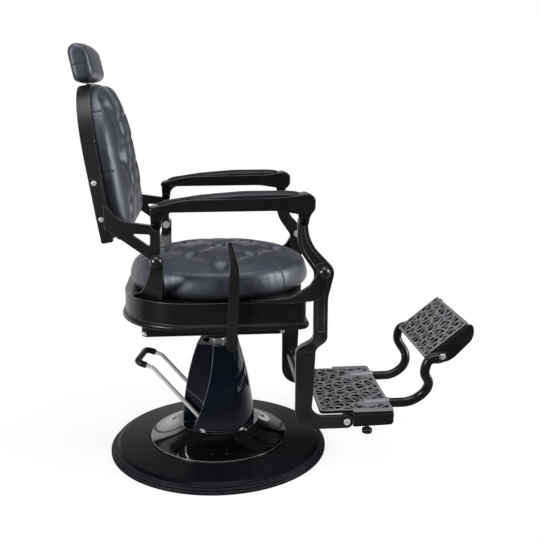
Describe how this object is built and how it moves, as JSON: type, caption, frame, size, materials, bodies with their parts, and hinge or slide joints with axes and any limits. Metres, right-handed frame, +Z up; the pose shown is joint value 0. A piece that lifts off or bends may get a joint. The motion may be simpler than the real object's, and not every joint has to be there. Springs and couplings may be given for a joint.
{
  "type": "barber chair",
  "caption": "Hydraulic barber chair with a round tufted seat, reclining tufted back with headrest, linked arms and a swing-out footrest.",
  "frame": {"origin": "on the floor, on the axis of the pump and the seat's swivel", "axes": "+X forward towards the footrest, +Y to the sitter's left, +Z up"},
  "size_m": [1.1275, 0.66, 1.1947],
  "materials": {
    "weight_steel": "machined, oiled",
    "base_paint": "satin powder coat",
    "gloss_case": "piano gloss",
    "chrome": "bright plated",
    "rubber": "ribbed moulded rubber",
    "black_paint": "satin powder coat on castings",
    "ball_gloss": "polished black",
    "leather": "soft grained synthetic leather",
    "arm_pad": "smooth padded skin",
    "panel": "textured",
    "plywood": "raw plywood",
    "cast_plate": "silver-grey casting"
  },
  "bodies": {
    "base": {"base_plate": "weight_steel", "base_cover": "base_paint", "bell_cover": "gloss_case", "column_front": "gloss_case", "column_rear": "gloss_case", "pump_body": "weight_steel", "pump_shaft": "weight_steel", "base_bolts": "weight_steel"},
    "pedal": {"pump_pedal": "chrome", "pump_grip": "rubber"},
    "lift": {"ram": "chrome"},
    "seat": {"seat_hub": "weight_steel", "hub_bolts": "weight_steel", "underframe": "black_paint", "tray_screws": "chrome", "lever_bush": "weight_steel", "seat_pan": "black_paint", "seat_board": "plywood", "seat_cushion": "leather", "seat_buttons": "leather", "rear_bracket_right": "black_paint", "rear_bracket_left": "black_paint", "front_horn_right": "black_paint", "front_horn_left": "black_paint", "horn_bolts": "chrome", "pivot_pins": "black_paint", "pivot_caps": "ball_gloss"},
    "lever": {"recline_lever": "black_paint", "lever_shaft": "black_paint"},
    "back": {"back_frame": "black_paint", "back_cover": "panel", "back_cushion": "leather", "back_buttons": "leather", "side_link_right": "black_paint", "side_link_left": "black_paint", "frame_screws": "chrome", "arm_rear_screws": "chrome", "headrest_socket": "weight_steel"},
    "headrest": {"headrest_cushion": "leather", "headrest_post": "chrome"},
    "armrest_right": {"arm_right": "black_paint", "arm_pad_right": "arm_pad"},
    "armrest_left": {"arm_left": "black_paint", "arm_pad_left": "arm_pad"},
    "legs": {"leg_right": "black_paint", "leg_left": "black_paint", "leg_crossbar": "black_paint", "arm_front_screws": "chrome", "deck_pivot_bolts": "chrome"},
    "foot_deck": {"deck_plate": "cast_plate", "deck_rail_right": "black_paint", "deck_rail_left": "black_paint", "foot_bar_right": "black_paint", "foot_bar_left": "black_paint", "deck_bumpers": "rubber"},
    "foot_tread": {"tread_plate": "cast_plate", "tread_cheek_right": "black_paint", "tread_cheek_left": "black_paint", "tread_screws": "chrome"}
  },
  "joints": [
    {"name": "lift_slide", "type": "slide", "parent": "base", "child": "lift", "axis": [0, 0, 1], "range_m": [0, 0.15]},
    {"name": "seat_swivel", "type": "hinge", "parent": "lift", "child": "seat", "pos_m": [0, 0, 0.37], "axis": [0, 0, 1], "continuous": true},
    {"name": "back_recline", "type": "hinge", "parent": "seat", "child": "back", "pos_m": [-0.157, 0, 0.647], "axis": [0, -1, 0], "range_deg": [0, 45]},
    {"name": "arm_right_turn", "type": "hinge", "parent": "back", "child": "armrest_right", "pos_m": [-0.155, 0, 0.737], "axis": [0, -1, 0], "range_deg": [-49.5, 0]},
    {"name": "arm_left_turn", "type": "hinge", "parent": "back", "child": "armrest_left", "pos_m": [-0.155, 0, 0.737], "axis": [0, -1, 0], "range_deg": [-49.5, 0]},
    {"name": "leg_swing", "type": "hinge", "parent": "seat", "child": "legs", "pos_m": [0.273, 0, 0.611], "axis": [0, -1, 0], "range_deg": [0, 34]},
    {"name": "deck_fold", "type": "hinge", "parent": "legs", "child": "foot_deck", "pos_m": [0.366, 0, 0.139], "axis": [0, -1, 0], "range_deg": [0, 60]},
    {"name": "tread_tilt", "type": "hinge", "parent": "foot_deck", "child": "foot_tread", "pos_m": [0.648, 0, 0.319], "axis": [0, -1, 0], "range_deg": [-20, 20]},
    {"name": "headrest_slide", "type": "slide", "parent": "back", "child": "headrest", "axis": [-0.1513, 0, 0.9885], "range_m": [0, 0.05]},
    {"name": "recline_lever_pull", "type": "hinge", "parent": "seat", "child": "lever", "pos_m": [0.032, 0, 0.42], "axis": [0, -1, 0], "range_deg": [0, 20], "stiffness_Nm_per_rad": 3, "springref_deg": -11.46},
    {"name": "pedal_press", "type": "hinge", "parent": "base", "child": "pedal", "pos_m": [-0.02954, 0.00521, 0.088], "axis": [-0.1736, -0.9848, 0], "range_deg": [0, 25], "stiffness_Nm_per_rad": 14, "springref_deg": -14.32}
  ],
  "couplings": [
    {"joint": "arm_right_turn", "follows": "back_recline", "ratio": -1.09},
    {"joint": "arm_left_turn", "follows": "back_recline", "ratio": -1.09},
    {"joint": "leg_swing", "follows": "back_recline", "ratio": 0.745}
  ]
}
